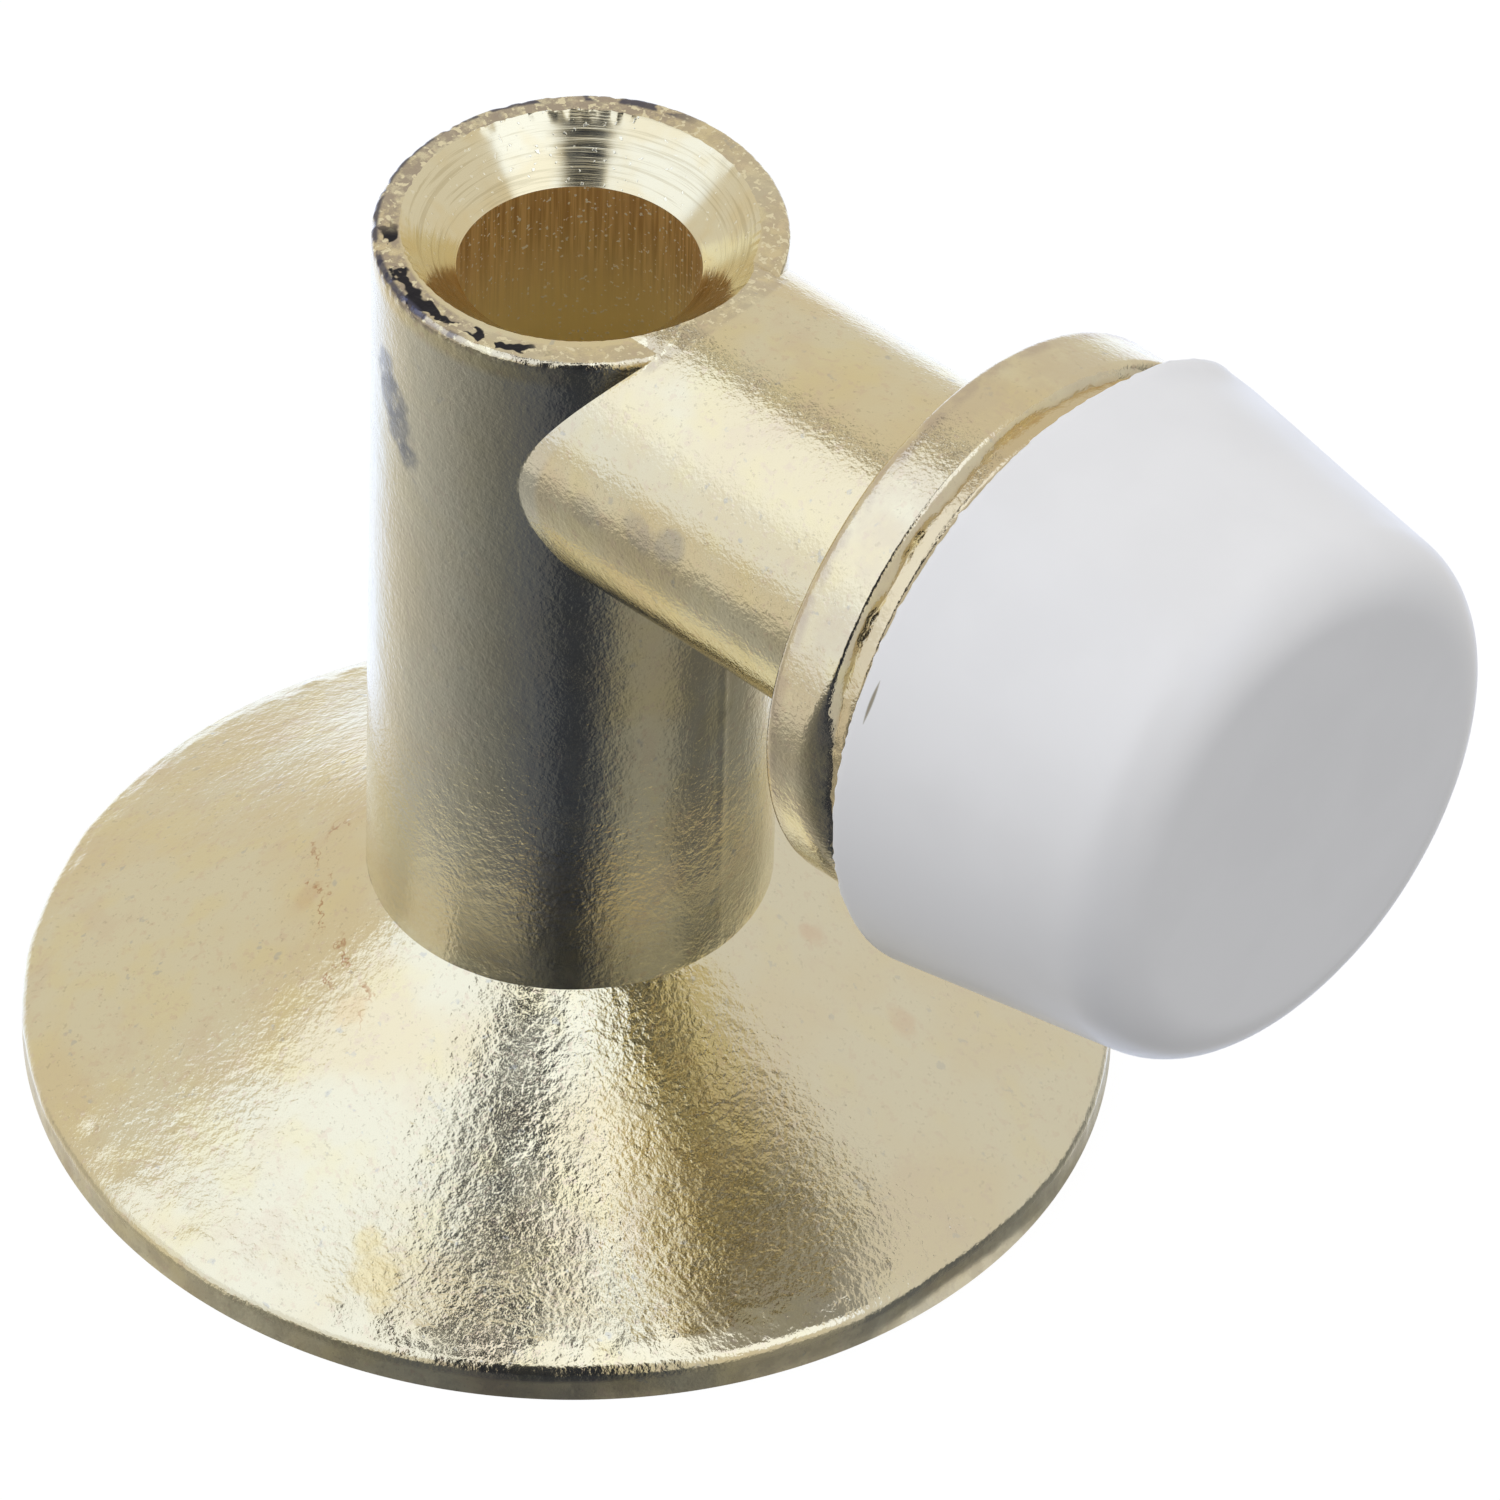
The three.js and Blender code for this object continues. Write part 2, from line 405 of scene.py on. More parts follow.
def brass(n, hammering, grain, stains_and_reflections, painted_cool_reflection, hammered_share=1.0):
    """Tumbled cast brass: hammered grain, cloudy tone, faint pinkish freckles, placed stain spots and painted dark
    reflection streaks, and a cooler, greyer tint that is a painted reflection on the sides that the caller picks.

    Returns the colour and roughness, for more marks on top.
    """
    color = n.mix(n.between(n.noise(0.16, 4), 0.42, 0.62), PALE_BRASS, WARM_BRASS)
    glow = n.times(n.between(n.noise(0.45, 3, shift=71), 0.50, 0.66), 0.4)
    color = n.mix(glow, color, YELLOW_BRASS)
    blush = n.times(n.between(n.noise(0.33, 5, 0.6, shift=7), 0.56, 0.68), 0.35)
    color = n.mix(blush, color, PINK_STAIN)
    dots = n.times(n.between(n.noise(2.6, 3, 0.6, shift=3), 0.56, 0.68), 0.55)
    color = n.mix(dots, color, PINK_STAIN)
    grit = n.times(n.between(n.noise(4.5, 2, 0.7, shift=61), 0.62, 0.70), 0.3)
    color = n.mix(grit, color, (0.42, 0.36, 0.25))
    freckles = n.times(n.between(n.noise(1.7, 3, shift=23), 0.66, 0.74), 0.5)
    color = n.mix(freckles, color, GREY_STAIN)
    # Painted reflection: a cooler, greyer tint where the caller's mask says
    color = n.mix(painted_cool_reflection, color, COOL_REFLECTION_TINT)
    rough = n.between(n.noise(0.7, 3, shift=11), 0.3, 0.7, 0.10, 0.17)
    # Placed stain spots, and painted dark reflection streaks among them
    for centre, radius, tone, strength in stains_and_reflections:
        blot = n.times(n.spot(centre, radius), n.between(n.noise(1.8, 4, 0.65, shift=5), 0.2, 0.5), strength)
        color = n.mix(blot, color, tone)
        rough = n.math("MULTIPLY_ADD", blot, 0.12, rough)
    dents = n.times(n.math("SUBTRACT", n.noise(2.8, 2, 0.55), 0.5), hammered_share)
    fine = n.bump(n.noise(7, 2, 0.6), grain, n.bump(dents, hammering))
    n.set(Metallic=1.0, Normal=fine)
    return color, rough


def casting_brass():
    """The casting's skin, with black pits along one side of the post's rim and a dull, pinkish disc; painted light
    on it: a cooler tint on the post's left side, a dark line along the top's far-left edge, glints on the top's ring
    and shade on the disc's lip.
    """
    n = Nodes("cast_brass")
    x, y, z = n.apart()
    out, turn = n.polar(x, y, POST_X / MM, 0)
    # The post's wall on its left side gets a cooler, greyer tint: a painted reflection of cooler light
    left = n.between(n.math("COSINE", n.math("SUBTRACT", turn, math.radians(-105))), 0.45, 0.75)
    wall = n.times(n.between(out, 7.5, 7.3), n.between(z, POST_HEIGHT / MM - 0.7, POST_HEIGHT / MM - 1.2))
    color, rough = brass(n, 0.02, 0.016, CASTING_STAINS_AND_REFLECTIONS, n.times(left, wall, 0.55))
    on_top = n.between(z, POST_HEIGHT / MM - 0.5, POST_HEIGHT / MM - 0.25)
    ring = n.times(n.between(out, 6.0, 6.15), n.between(out, 7.45, 7.25), on_top)
    far_left = n.between(n.math("COSINE", n.math("SUBTRACT", turn, math.radians(-170))), -0.1, 0.2)
    crusted = n.math("MULTIPLY_ADD", far_left, 0.5, 0.35)
    crust = n.times(ring, n.between(n.noise(1.6, 4, 0.7, shift=41), 0.34, 0.56), crusted)
    color = n.mix(crust, color, (0.45, 0.38, 0.31))
    # Brighter golden specks on the top's ring: painted glints
    painted_glints = n.times(ring, n.between(n.noise(3.2, 2, 0.6, shift=47), 0.56, 0.62))
    color = n.mix(painted_glints, color, (0.96, 0.88, 0.62))
    wander = n.between(n.noise(1.1, 2, shift=31), 0.3, 0.7, -0.22, 0.22)
    strip = n.math("ABSOLUTE", n.math("SUBTRACT", out, n.math("ADD", wander, 6.55)))
    side = n.between(n.math("ABSOLUTE", n.math("SUBTRACT", turn, math.radians(-98))), 0.8, 0.6)
    pits = n.times(n.between(strip, 0.26, 0.18), n.between(n.noise(1.0, 3, shift=37), 0.46, 0.49), side, on_top)
    color = n.mix(pits, color, (0.035, 0.034, 0.04))
    # Painted shade: a dark bluish line along the top's rounded edge, on the far left
    on_edge = n.between(z, POST_HEIGHT / MM - 0.22, POST_HEIGHT / MM - 0.1)
    edge = n.times(n.between(out, 6.72, 6.86), n.between(n.noise(0.9, 3, shift=59), 0.46, 0.52), on_edge)
    color = n.mix(n.times(edge, far_left, 0.9), color, (0.10, 0.10, 0.14))
    on_disc = n.between(x, DISC_BACK / MM, DISC_BACK / MM + 0.3)
    dull = n.times(on_disc, n.between(n.noise(0.5, 4, 0.65, shift=43), 0.38, 0.62), 0.5)
    color = n.mix(dull, color, (0.73, 0.62, 0.45))
    back_edge = n.times(on_disc, n.between(x, DISC_BACK / MM + 0.9, DISC_BACK / MM + 0.5))
    worn = n.times(back_edge, n.between(n.noise(0.8, 4, 0.6, shift=73), 0.35, 0.6), 0.7)
    color = n.mix(worn, color, (0.62, 0.52, 0.40))
    off_axis, _ = n.polar(y, z, 0, ARM_Z / MM)
    # Painted shade: the disc's lip and front face are darkened to tan where the rubber's skirt overhangs them
    lip = n.between(x, ROLL_X / MM - 0.06, ROLL_X / MM + 0.06)
    lip_painted_shade = n.times(lip, n.between(off_axis, DISC_RADIUS / MM, DISC_RADIUS / MM - 0.3))
    color = n.mix(n.times(lip_painted_shade, 0.7), color, (0.72, 0.59, 0.36))
    n.set(Base_Color=color, Roughness=rough)
    return n.material


def flange_brass():
    """The flange's skin, hammered, with a crack-like stain that winds round the foot of the post."""
    n = Nodes("flange_brass")
    x, y, z = n.apart()
    above_rim = n.between(z, RIM_HEIGHT / MM - 0.3, RIM_HEIGHT / MM + 0.4, 0.15)
    out, turn = n.polar(x, y, POST_X / MM, 0)
    # The flange's right side gets a cooler, greyer tint: a painted reflection of cooler light
    right = n.between(n.math("COSINE", n.math("SUBTRACT", turn, math.radians(25))), 0.5, 0.9)
    color, rough = brass(n, 0.028, 0.012, FLANGE_STAINS, n.times(right, 0.38), above_rim)
    rough = n.math("ADD", rough, n.between(z, RIM_HEIGHT / MM + 0.1, RIM_HEIGHT / MM - 0.2, 0.0, 0.28))
    path = n.math("MULTIPLY_ADD", turn, 1.5, 12.2)
    wander = n.between(n.noise(0.6, 4, 0.7, shift=51), 0.3, 0.7, -0.8, 0.8)
    off_path = n.math("ABSOLUTE", n.math("SUBTRACT", out, n.math("ADD", path, wander)))
    along = n.between(n.math("ABSOLUTE", n.math("SUBTRACT", turn, math.radians(-123))), 0.6, 0.45)
    crack = n.times(n.between(off_path, 0.16, 0.03), n.between(n.noise(1.1, 3, shift=53), 0.40, 0.55), along, 0.7)
    color = n.mix(crack, color, (0.50, 0.27, 0.13))
    on_rim = n.between(z, RIM_HEIGHT / MM + 0.1, RIM_HEIGHT / MM - 0.15)
    patina = n.times(on_rim, n.between(n.noise(1.1, 4, 0.7, shift=57), 0.42, 0.6), 0.25)
    color = n.mix(patina, color, (0.42, 0.36, 0.27))
    n.set(Base_Color=color, Roughness=rough)
    return n.material


def turned_brass():
    """The freshly cut countersink: bright, with rings left by the tool and small chips whose brighter colour is a
    painted glint.
    """
    n = Nodes("turned_brass")
    color = n.mix(n.between(n.noise(0.5, 3), 0.4, 0.6), (0.86, 0.79, 0.56), (0.84, 0.73, 0.46))
    rings = n.noise(9, 3, 0.7, stretch=(0.02, 0.02, 1))
    color = n.mix(n.times(n.between(rings, 0.50, 0.62), 0.45), color, (0.55, 0.47, 0.28))
    # The chips' brighter colour is a painted glint; the bump below gives them their shape
    chips = n.between(n.noise(4.2, 2, shift=13), 0.66, 0.70)
    color = n.mix(chips, color, (0.93, 0.88, 0.68))
    rough = n.between(n.noise(1.2, 4), 0.3, 0.7, 0.10, 0.17)
    normal = n.bump(chips, 0.004, n.bump(rings, 0.006))
    n.set(Base_Color=color, Metallic=1.0, Roughness=rough, Normal=normal)
    return n.material


def bore_brass():
    """The drilled bore: brown bronze with fine upright streaks and scattered bright specks, and painted light that
    makes it brighter and yellower deeper down.
    """
    n = Nodes("bore_brass")
    streaks = n.noise(8, 3, 0.6, stretch=(1, 1, 0.025))
    color = n.mix(n.between(streaks, 0.38, 0.62), (0.49, 0.29, 0.10), (0.79, 0.55, 0.23))
    color = n.mix(n.times(n.between(n.noise(0.3, 2), 0.4, 0.6), 0.5), color, (0.63, 0.40, 0.16))
    _, _, z = n.apart()
    # Painted light: brighter, yellower colour deeper in the bore
    painted_light_deep = n.between(z, POST_HEIGHT / MM - 2, POST_HEIGHT / MM - 8)
    color = n.mix(n.times(painted_light_deep, 0.95), color, (1.0, 0.88, 0.46))
    specks = n.between(n.noise(6, 1, shift=9), 0.66, 0.70)
    color = n.mix(specks, color, (1.0, 0.96, 0.80))
    rough = n.mix(specks, (0.45, 0.45, 0.45), (0.3, 0.3, 0.3))
    n.set(Base_Color=color, Metallic=0.6, Roughness=rough, Normal=n.bump(specks, 0.01, n.bump(streaks, 0.006)))
    return n.material


def rubber():
    """Moulded white rubber: light grey, low sheen, faint cloudiness, and a tear in its skirt painted as a dark brown
    sliver of shade.
    """
    n = Nodes("white_rubber")
    color = n.mix(n.between(n.noise(0.25, 3), 0.35, 0.65), (0.905, 0.905, 0.91), (0.885, 0.885, 0.89))
    # The tear's dark brown sliver is painted: the shaded brass seen through the gap, while the skirt is not cut
    # there
    color = n.mix(n.sliver(*RUBBER_TEAR, 0.07), color, (0.34, 0.30, 0.22))
    rough = n.between(n.noise(0.8, 3), 0.3, 0.7, 0.28, 0.34)
    normal = n.bump(n.noise(0.9, 1), 0.004)
    n.set(Base_Color=color, Roughness=rough, Normal=normal)
    n.shader.inputs["Specular IOR Level"].default_value = 0.45
    return n.material


# ---- pieces ---------------------------------------------------------------------------


def post_profile():
    """(radius, z) points of the solid post."""
    profile = [(0, FLOOR_Z), (POST_FOOT_RADIUS, FLOOR_Z)]
    profile += arc(POST_TOP_RADIUS - POST_TOP_ROUND, POST_HEIGHT - POST_TOP_ROUND, POST_TOP_ROUND, 0, 90, 6)
    return profile + [(BORE_RADIUS, POST_HEIGHT), (0, POST_HEIGHT)]


def arm_profile():
    """(radius, x) points of the arm and its disc, from inside the post to the disc's front face."""
    profile = [(0, POST_X), (ARM_RADIUS, POST_X)]
    profile += arc(ARM_RADIUS + ARM_FILLET, DISC_BACK - ARM_FILLET, ARM_FILLET, 180, 90, 5)
    profile += arc(DISC_RADIUS - DISC_ROUND, DISC_BACK + DISC_ROUND, DISC_ROUND, -90, 0, 6)
    profile += arc(DISC_RADIUS - ROLL_ROUND, ROLL_START, ROLL_ROUND, 0, math.degrees(ROLL_TURN), 12)
    profile += arc(LIP_RADIUS - LIP_ROUND, DISC_FRONT - LIP_ROUND, LIP_ROUND, 0, 90, 5)
    return profile + [(SOCKET_RADIUS, DISC_FRONT), (0, DISC_FRONT)]


def wear_post(x, y, z):
    """The post's top as cast: flared on its far side, with a chipped edge."""
    radial = np.maximum(np.hypot(x - POST_X, y), 0.01 * MM)
    turn = np.arctan2(y, x - POST_X)
    share = np.minimum(radial / POST_TOP_RADIUS, 1)
    far_side = np.exp(2 * (np.cos(turn - FLARE_TURN) - 1) / FLARE_SPREAD**2)
    flare = FLARE * far_side * ease(POST_HEIGHT - 3 * MM, POST_HEIGHT, z) * share
    left_side = 0.2 + 0.8 * ease(-0.1, 0.4, np.cos(turn - math.radians(-170)))
    chips = 0.04 * MM * np.maximum(ragged(turn, 11, 12, 90), 0) * ease(POST_HEIGHT - 0.8 * MM, POST_HEIGHT, z)
    chips *= left_side
    scale = 1 + (flare - chips * share**8) / radial
    return POST_X + (x - POST_X) * scale, y * scale, z


def wear_disc(x, y, z):
    """The disc's edge as trimmed: its groove wanders, and its rolled edge is tighter above than below."""
    radial = np.maximum(np.hypot(y, z - ARM_Z), 0.01 * MM)
    turn = np.arctan2(y, z - ARM_Z)
    at_groove = np.exp(-((x - ROLL_X) / (0.22 * MM)) ** 2) * ease(LIP_RADIUS - LIP_ROUND, LIP_RADIUS, radial)
    along = (0.05 * ragged(turn, 12, 3, 24) + 0.015 * ragged(turn, 13, 20, 100)) * MM * at_groove
    tight = 0.7 * ease(*TIGHT_ROLL, turn)
    behind = np.clip((x - DISC_BACK - DISC_ROUND) / (ROLL_START - DISC_BACK - DISC_ROUND), 0, 1)
    behind *= ease(ARM_RADIUS, DISC_RADIUS - DISC_ROUND, radial)
    along = along + tight * behind * np.clip(ROLL_X - np.maximum(x, ROLL_START), 0, None)
    scale = 1 + 0.012 * MM * ragged(turn, 14, 15, 100) * at_groove / radial
    return x + along, y * scale, ARM_Z + (z - ARM_Z) * scale


def casting_blank():
    """The casting before drilling: a turned post and a turned arm with its disc, joined with a crisp corner."""
    post = turned("casting", refine(post_profile(), SKIN_STEP), FINE_SEGMENTS * 3 // 2)
    post.data.transform(Matrix.Translation((POST_X, 0, 0)))
    move_points(post, wear_post)
    arm = turned("arm", refine(arm_profile(), SKIN_STEP), FINE_SEGMENTS * 3 // 2)
    lay_along_x(arm)
    move_points(arm, wear_disc)
    displace(post, casting_height)
    displace(arm, casting_height)
    boolean(post, arm, "UNION")
    return post


def hole_cutter():
    """Bore and countersink; the countersink's wall carries the tool's rings, and its edge is nicked."""
    above = 2 * MM
    slope = (COUNTERSINK_RADIUS - BORE_RADIUS) / COUNTERSINK_DEPTH
    low = POST_HEIGHT - COUNTERSINK_DEPTH
    ring_count = 46
    ring_depth = 0.004 * MM
    draw = np.random.default_rng(17)
    profile = [(0, FLOOR_Z - above), (BORE_RADIUS, FLOOR_Z - above), (BORE_RADIUS, low)]
    for i in range(1, ring_count + 1):
        rise = (POST_HEIGHT + above - low) * i / ring_count
        profile.append((BORE_RADIUS + slope * rise + ring_depth * draw.uniform(-1, 1), low + rise))
    profile.append((0, POST_HEIGHT + above))
    cutter = turned("hole_cutter", profile, FINE_SEGMENTS)
    move_points(cutter, nick_edge)
    cutter.data.transform(Matrix.Translation(Vector((POST_X, 0, 0)) + BORE_OFFSET))
    cutter.data.materials.append(turned_brass())
    cutter.data.materials.append(bore_brass())
    for face in cutter.data.polygons:
        face.material_index = 1 if face.center.z < low else 0
    return cutter


def nick_edge(x, y, z):
    """Nicks round the countersink's upper edge, most of them on its left and far sides."""
    turn = np.arctan2(y, x)
    side = 0.35 + 0.65 * ease(0.0, 0.8, -np.cos(turn))
    near_edge = ease(POST_HEIGHT - 0.3 * MM, POST_HEIGHT - 0.1 * MM, z)
    scale = 1 + 0.0035 * ragged(turn, 18, 10, 110) * side * near_edge
    return x * scale, y * scale, z


def socket_cutter():
    profile = [(0, DISC_FRONT - SOCKET_DEPTH), (SOCKET_RADIUS, DISC_FRONT - SOCKET_DEPTH)]
    profile += [(SOCKET_RADIUS, DISC_FRONT + MM), (0, DISC_FRONT + MM)]
    cutter = turned("socket_cutter", profile, 64)
    lay_along_x(cutter)
    return cutter


def casting_height(position):
    """Unevenness of the cast skin, with a beaded rim and the mould's parting ridge down the post."""
    height = 0.025 * MM * bumps(position, 6 * MM, 1) + 0.008 * MM * bumps(position, 1.3 * MM, 2)
    height += 0.004 * MM * bumps(position, 0.6 * MM, 3)
    ridge = 1 - smoothstep(0.0, 0.25 * MM, abs(position.y + 0.05 * MM * bumps(position, 2 * MM, 4)))
    below_arm = 1 - smoothstep(ARM_Z - ARM_RADIUS, ARM_Z, position.z)
    below_arm *= 0.2 + 0.8 * smoothstep(9 * MM, 15 * MM, position.z)
    on_rim = smoothstep(POST_HEIGHT - 0.25 * MM, POST_HEIGHT - 0.05 * MM, position.z)
    on_rim *= 1 - smoothstep(POST_TOP_RADIUS, POST_TOP_RADIUS + MM, math.hypot(position.x - POST_X, position.y))
    beads = 0.025 * MM * bumps(position, 0.45 * MM, 8)
    return height + 0.04 * MM * ridge * below_arm + beads * on_rim


def make_casting():
    casting = casting_blank()
    casting.data.materials.clear()
    casting.data.materials.append(casting_brass())
    boolean(casting, hole_cutter(), "DIFFERENCE")
    boolean(casting, socket_cutter(), "DIFFERENCE")
    shade(casting)
    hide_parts("body_casting")
    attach(casting, "stop")


def cone_height(radius, hub_radius):
    """Upper face of the flange: a cone that dips slightly between its ends."""
    t = (radius - hub_radius) / (BASE_RADIUS - LAND_WIDTH - hub_radius)
    return CONE_TOP_Z + (LAND_Z - CONE_TOP_Z) * t - 4 * CONE_SAG * t * (1 - t)


def flange_height(position):
    """Unevenness of the flange's skin."""
    height = 0.03 * MM * bumps(position, 7 * MM, 5) + 0.012 * MM * bumps(position, 1.4 * MM, 6)
    height += 0.006 * MM * bumps(position, 0.6 * MM, 7)
    return height * smoothstep(0, 0.2 * MM, position.z - FLOOR_Z)


def wear_rim(x, y, z):
    """The flange's rim as cast and tumbled: an uneven edge, a raised burr inside it, and a flat where it was cut."""
    radial = np.hypot(x - POST_X, y)
    turn = np.arctan2(y, x - POST_X)
    outer = ease(BASE_RADIUS - 2 * LAND_WIDTH, BASE_RADIUS - RIM_BEVEL, radial) * ease(0, 0.3 * MM, z)
    flat = GATE_FLAT * np.exp(-(turn / math.radians(11)) ** 2)
    wander = 0.03 * MM * ragged(turn, 21, 3, 14) + 0.004 * MM * ragged(turn, 22, 20, 120)
    scale = 1 - (flat + np.abs(wander)) * outer / radial
    edge = np.exp(-((radial - BASE_RADIUS + RIM_BEVEL + BURR_WIDTH) / BURR_WIDTH) ** 2)
    burr = (0.03 * MM + 0.02 * MM * ragged(turn, 23, 10, 90)) * edge * ease(0.5 * RIM_HEIGHT, RIM_HEIGHT, z)
    return POST_X + (x - POST_X) * scale, y * scale, z + burr


def make_flange():
    hub_radius = POST_FOOT_RADIUS - PRESS
    hub_outer = hub_radius + HUB_WALL
    cavity_radius = BASE_RADIUS - RIM_WALL
    land_radius = BASE_RADIUS - LAND_WIDTH
    steps = 48
    along = [i / steps for i in range(steps + 1)]
    inner = [hub_outer + (cavity_radius - hub_outer) * t for t in along]
    outer = [land_radius + (hub_radius - land_radius) * t for t in along]
    profile = [(hub_radius, HUB_BOTTOM_Z), (hub_outer, HUB_BOTTOM_Z)]
    profile += [(r, max(cone_height(r, hub_radius) - FLANGE_WALL, HUB_BOTTOM_Z)) for r in inner]
    profile += [(cavity_radius, FLOOR_Z), (BASE_RADIUS, FLOOR_Z)]
    profile += arc(BASE_RADIUS - RIM_BEVEL, RIM_HEIGHT, RIM_BEVEL, 0, 60, 6)
    profile += [(r, cone_height(r, hub_radius)) for r in outer]
    profile += [(hub_radius, HUB_BOTTOM_Z)]
    flange = turned("flange", refine(profile, 0.2 * MM), 3 * FINE_SEGMENTS, closed=True)
    flange.data.transform(Matrix.Translation((POST_X, 0, 0)))
    displace(flange, flange_height)
    move_points(flange, wear_rim)
    flange.data.materials.append(flange_brass())
    shade(flange, 40)
    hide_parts("base_flange")
    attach(flange, "stop")


def bumper_profile():
    """(radius, x) points from the stem's end to the middle of the striking face."""
    seat_x = DISC_FRONT + SEAT_GAP
    taper = math.atan2(SKIRT_RADIUS - TIP_RADIUS, TIP_X - SKIRT_X)
    edge_x = TIP_X - TIP_ROUND
    side_radius = SKIRT_RADIUS - (edge_x - SKIRT_X) * math.tan(taper)
    edge_radius = side_radius - TIP_ROUND / math.cos(taper)
    profile = [(0, seat_x - STEM_LENGTH), (STEM_RADIUS - 0.3 * MM, seat_x - STEM_LENGTH)]
    profile += [(STEM_RADIUS, seat_x - STEM_LENGTH + 0.3 * MM), (STEM_RADIUS, seat_x), (SEAT_RADIUS, seat_x)]
    profile += arc(SKIRT_RADIUS - SKIRT_ROUND, SKIRT_X, SKIRT_ROUND, -60, 0, 3)
    profile += arc(edge_radius, edge_x, TIP_ROUND, math.degrees(taper), 90, 20)
    profile += [(0, TIP_X)]
    return profile


def trim_bumper(x, y, z):
    """Leans the rubber as it was pressed in, and leaves flash and a raised lip of flash on its skirt's edge."""
    radial = np.hypot(y, z - ARM_Z)
    turn = np.arctan2(y, z - ARM_Z)
    edge = np.exp(-((x - SKIRT_X) / (0.22 * MM)) ** 2) * ease(SEAT_RADIUS, SKIRT_RADIUS, radial)
    flash = 0.035 * MM * ragged(turn, 31, 10, 160) * edge
    corner = np.exp(-((turn - LIP_TURN) / math.radians(13)) ** 4 - ((x - SKIRT_X) / (0.5 * MM)) ** 2)
    scale = 1 + LIP_RISE * corner * ease(SEAT_RADIUS, SKIRT_RADIUS, radial) / np.maximum(radial, MM)
    y, z = y * scale, ARM_Z + (z - ARM_Z) * scale
    x = x - np.maximum(flash, -0.01 * MM)
    share = ease(DISC_FRONT, DISC_FRONT + MM, x)
    lean = BUMPER_TILT.to_matrix()
    offset = np.stack([x - DISC_FRONT, y, z - ARM_Z])
    leaned = np.array(lean) @ offset + np.array(BUMPER_SHIFT)[:, None]
    x, y, z = offset + (leaned - offset) * share
    return x + DISC_FRONT, y, z + ARM_Z


def make_bumper():
    bumper = turned("bumper", refine(bumper_profile(), 0.2 * MM), 2 * FINE_SEGMENTS)
    lay_along_x(bumper)
    move_points(bumper, trim_bumper)
    displace(bumper, lambda p: 0.03 * MM * bumps(p, 8 * MM, 9) + 0.006 * MM * bumps(p, 1.5 * MM, 10))
    bumper.data.materials.append(rubber())
    shade(bumper, 50)
    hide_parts("rubber_bumper")
    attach(bumper, "bumper")


# ---- stage, light and camera ----------------------------------------------------------


def make_floor():
    """A plain pale sweep. It is lit evenly, and only the faintest contact shadow shows on it."""
    half = 3.0
    mesh = bpy.data.meshes.new("floor")
    corners = [(-half, -half), (half, -half), (half, half), (-half, half)]
    mesh.from_pydata([(x, y, FLOOR_Z) for x, y in corners], [], [(0, 1, 2, 3)])
    floor = bpy.data.objects.new("floor", mesh)
    bpy.context.scene.collection.objects.link(floor)
    material = bpy.data.materials.new("floor")
    material.use_nodes = True
    shader = material.node_tree.nodes["Principled BSDF"]
    shader.inputs["Base Color"].default_value = (0.12, 0.12, 0.12, 1)
    shader.inputs["Roughness"].default_value = 1.0
    shader.inputs["Specular IOR Level"].default_value = 0.0
    shader.inputs["Emission Color"].default_value = (1, 1, 1, 1)
    shader.inputs["Emission Strength"].default_value = 0.93
    mesh.materials.append(material)
    floor.visible_glossy = False
    floor.visible_diffuse = False


def heading(azimuth, elevation):
    """Unit vector towards a direction in degrees: azimuth from +X towards +Y, elevation from the floor."""
    azimuth, elevation = math.radians(azimuth), math.radians(elevation)
    flat = math.cos(elevation)
    return Vector((flat * math.cos(azimuth), flat * math.sin(azimuth), math.sin(elevation)))


# Light in the tent above the horizon, as (azimuth, elevation, half width, half height, soft edge, level).
# Sizes are in degrees as seen from the object, and each panel lies over the ones before it.
PANELS = [
    (-110, 33, 34, 41, 8, 0.93),  # lower part of the large softbox left of the camera
    (-110, 50, 34, 26, 12, 1.15),  # the same softbox, brighter above
    (-1, 49, 15, 30, 5, 1.25),  # narrow softbox right of the camera
    (174, 60, 4, 5, 4, 0.30),  # gap behind the large softbox
    (-44, 75, 15, 17, 6, 1.25),  # light between the softboxes, over the camera
    (-84, 76, 5.5, 12, 4, 0.04),  # gap beside the large softbox
    (-51, 5, 18, 52, 8, 0.03),  # the opening that the camera looks through
]
LOW_PANEL = (-127, -19, 15, 9, 10, 0.72)  # light that the floor throws back under the large softbox
TENT_LEVEL = 0.69
# Colour of the tent's light at each level, as the brass mirrors it
TINTS = [(0.04, (0.86, 1.0, 1.5)), (0.16, (1.0, 1.0, 0.96)), (0.69, (1.03, 0.98, 0.90)), (1.0, (0.92, 0.99, 1.17))]
DIFFUSE_TINT = (0.99, 0.99, 1.0)  # for the rubber, which the tent lights more evenly than the brass mirrors it
DIFFUSE_GAIN = 1.10
DIFFUSE_FLOOR = 0.28

# Light from below the horizon, as (azimuth in degrees from the camera, anticlockwise from above, level)
FLOOR_LEVELS = [(-180, 1.2), (-155, 1.2), (-138, 0.95), (-122, 0.66), (-102, 0.48), (-82, 0.37), (-61, 0.25),
                (-41, 0.16), (-25, 0.12), (-13, 0.09), (-4, 0.04), (8, 0.04), (19, 0.11), (30, 0.23), (40, 0.27),
                (58, 0.26), (67, 0.13), (84, 0.13), (94, 0.2), (118, 0.24), (140, 0.6), (155, 1.0), (168, 1.2)]


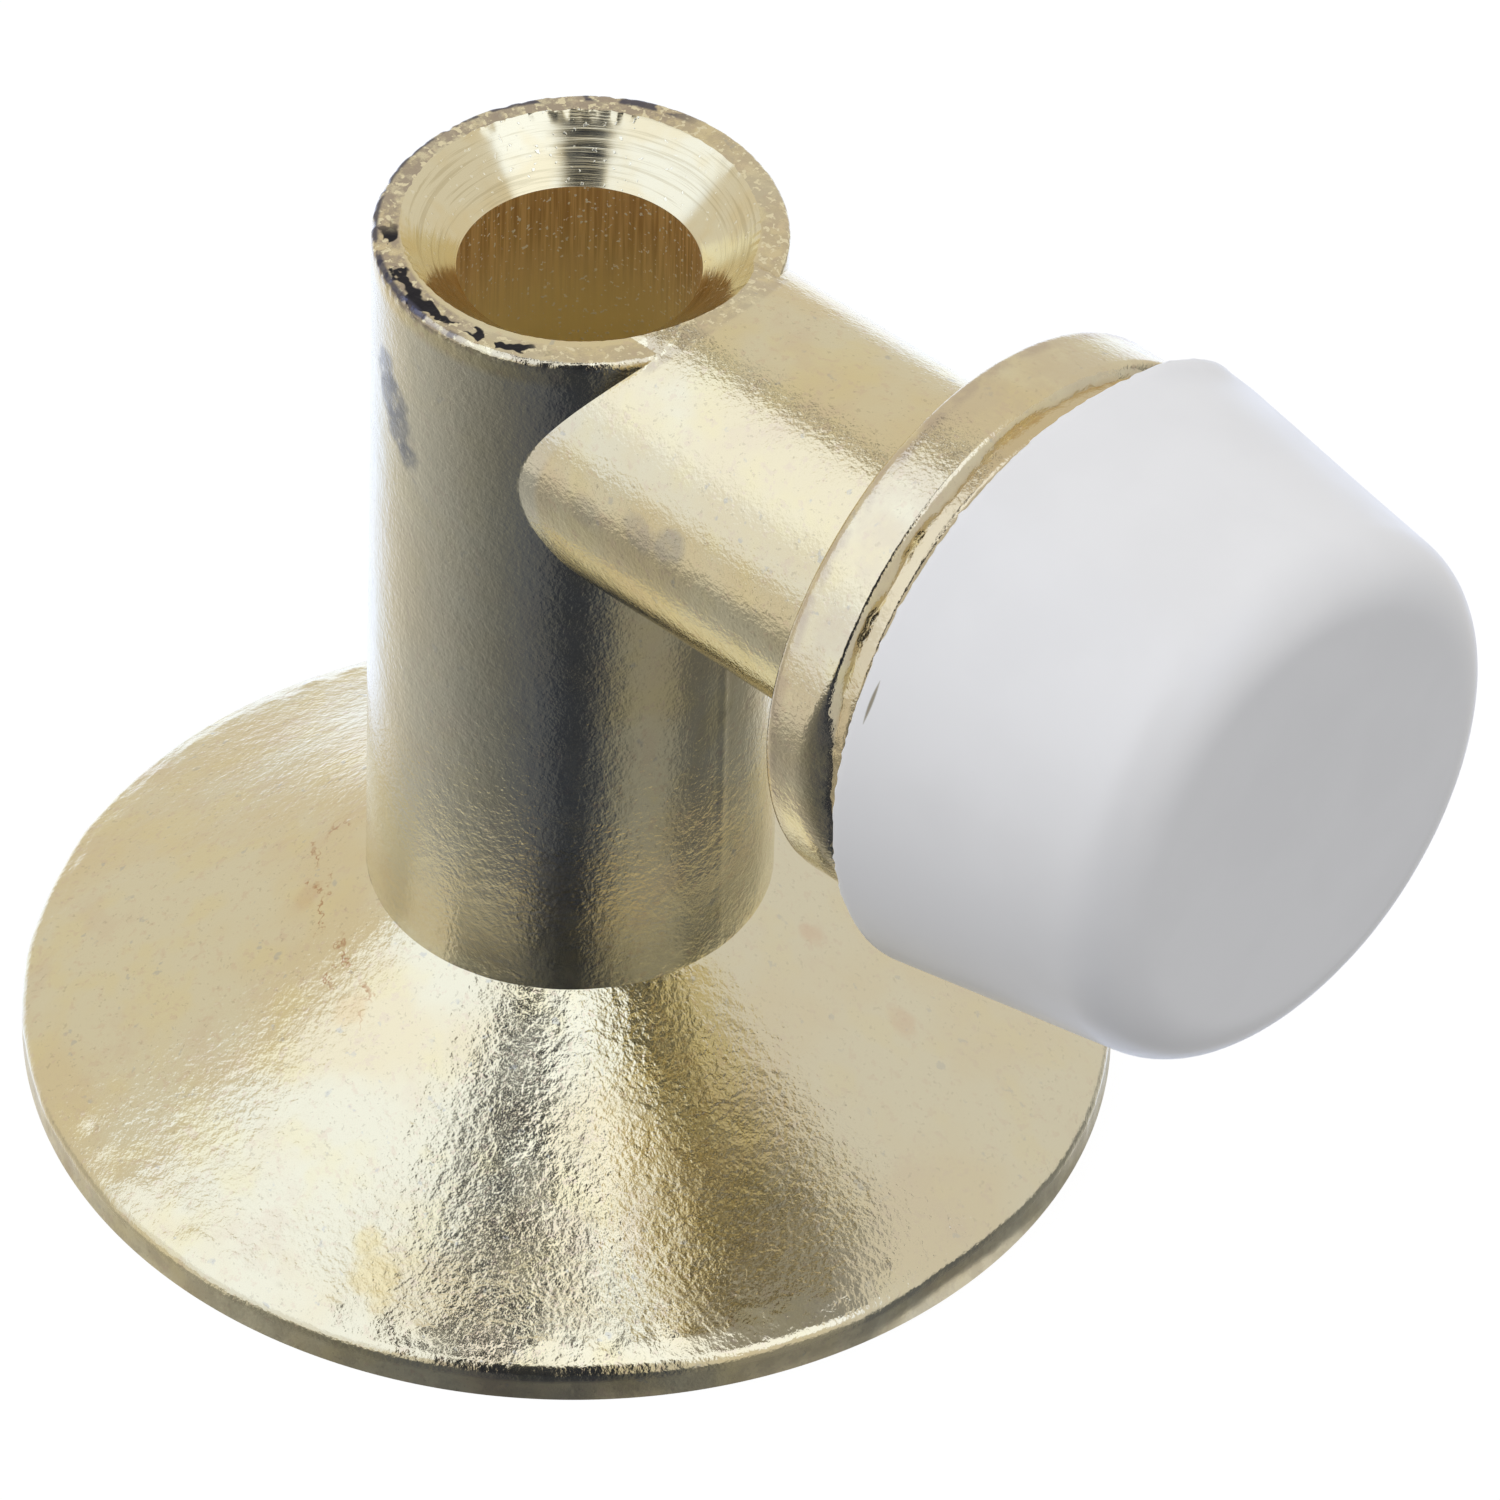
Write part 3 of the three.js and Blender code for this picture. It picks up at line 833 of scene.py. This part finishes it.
def make_world():
    """A light tent: even walls with two softboxes, bright behind and below, dark towards the camera."""
    world = bpy.data.worlds.new("tent")
    bpy.context.scene.world = world
    world.use_nodes = True
    tree = world.node_tree
    tree.nodes.clear()

    def add(kind, inputs=None, **settings):
        node = tree.nodes.new(kind)
        for key, value in settings.items():
            setattr(node, key, value)
        for key, value in (inputs or {}).items():
            if isinstance(value, bpy.types.NodeSocket):
                tree.links.new(value, node.inputs[key])
            else:
                node.inputs[key].default_value = value
        return node

    def calc(operation, *values):
        return add("ShaderNodeMath", dict(enumerate(values)), operation=operation).outputs[0]

    def dot(axis):
        inputs = {0: direction, 1: tuple(axis)}
        return add("ShaderNodeVectorMath", inputs, operation="DOT_PRODUCT").outputs["Value"]

    def ease(value, low, high, out_low=0.0, out_high=1.0):
        settings = {"Value": value, "From Min": low, "From Max": high, "To Min": out_low, "To Max": out_high}
        return add("ShaderNodeMapRange", settings, interpolation_type="SMOOTHSTEP").outputs["Result"]

    def blend(factor, first, second):
        node = add("ShaderNodeMix", {0: factor, 2: first, 3: second}, data_type="FLOAT")
        return node.outputs[0]

    def panel(azimuth, elevation, half_width, half_height, soft):
        """1 inside a rectangle of directions, 0 outside, with a soft edge; all in degrees."""
        centre = heading(azimuth, elevation)
        side = heading(azimuth + 90, 0)
        up = centre.cross(side)
        depth = calc("MAXIMUM", dot(centre), 0.001)
        masks = []
        for axis, half in ((side, half_width), (up, half_height)):
            angle = calc("ARCTAN2", calc("ABSOLUTE", dot(axis)), depth)
            masks.append(ease(angle, math.radians(half + soft / 2), math.radians(half - soft / 2)))
        return calc("MULTIPLY", *masks)

    direction = add("ShaderNodeTexCoord").outputs["Generated"]
    rise = dot((0, 0, 1))
    ahead = dot(TOWARDS_CAMERA)
    aside = dot(Vector((0, 0, 1)).cross(TOWARDS_CAMERA))
    turn = calc("ADD", calc("DIVIDE", calc("ARCTAN2", aside, ahead), 2 * math.pi), 0.5)

    ramp = add("ShaderNodeValToRGB", {"Fac": turn})
    elements = ramp.color_ramp.elements
    elements.remove(elements[-1])
    for index, (azimuth, level) in enumerate(FLOOR_LEVELS):
        position = 0.5 + azimuth / 360
        element = elements[0] if index == 0 else elements.new(position)
        element.position = position
        element.color = (level, level, level, 1)
    below = ramp.outputs["Color"]

    above = TENT_LEVEL
    for azimuth, elevation, half_width, half_height, soft, level in PANELS:
        above = blend(panel(azimuth, elevation, half_width, half_height, soft), above, level)
    paths = add("ShaderNodeLightPath")
    diffuse = paths.outputs["Is Diffuse Ray"]
    below = blend(diffuse, below, DIFFUSE_FLOOR)
    strength = blend(ease(rise, -0.26, -0.04), below, above)
    *place, level = LOW_PANEL
    strength = blend(panel(*place), strength, level)
    strength = calc("MULTIPLY", strength, blend(diffuse, 1.0, DIFFUSE_GAIN))
    tone = add("ShaderNodeValToRGB", {"Fac": strength})
    elements = tone.color_ramp.elements
    elements.remove(elements[-1])
    for index, (level, color) in enumerate(TINTS):
        element = elements[0] if index == 0 else elements.new(level)
        element.position = level
        element.color = (*color, 1)
    tint = add("ShaderNodeMix", {0: diffuse, 6: tone.outputs["Color"], 7: (*DIFFUSE_TINT, 1)}, data_type="RGBA")
    light = add("ShaderNodeBackground", {"Color": tint.outputs[2], "Strength": strength}).outputs[0]
    white = add("ShaderNodeBackground", {"Color": (1, 1, 1, 1), "Strength": 1.0}).outputs[0]
    mixed = add("ShaderNodeMixShader", {0: paths.outputs["Is Camera Ray"], 1: light, 2: white}).outputs[0]
    add("ShaderNodeOutputWorld", {"Surface": mixed})


def make_camera():
    data = bpy.data.cameras.new("camera")
    data.lens = LENS
    data.clip_end = 20
    camera = bpy.data.objects.new("camera", data)
    back = TOWARDS_CAMERA * math.cos(VIEW_ELEVATION) + Vector((0, 0, math.sin(VIEW_ELEVATION)))
    camera.location = VIEW_TARGET + back * VIEW_DISTANCE
    aim = back.to_track_quat("Z", "Y").to_matrix() @ Matrix.Rotation(VIEW_ROLL, 3, "Z")
    camera.rotation_euler = aim.to_euler()
    bpy.context.scene.collection.objects.link(camera)
    bpy.context.scene.camera = camera


make_camera()
make_floor()
make_world()
bpy.context.scene.view_settings.view_transform = "Standard"

make_casting()
make_flange()
make_bumper()
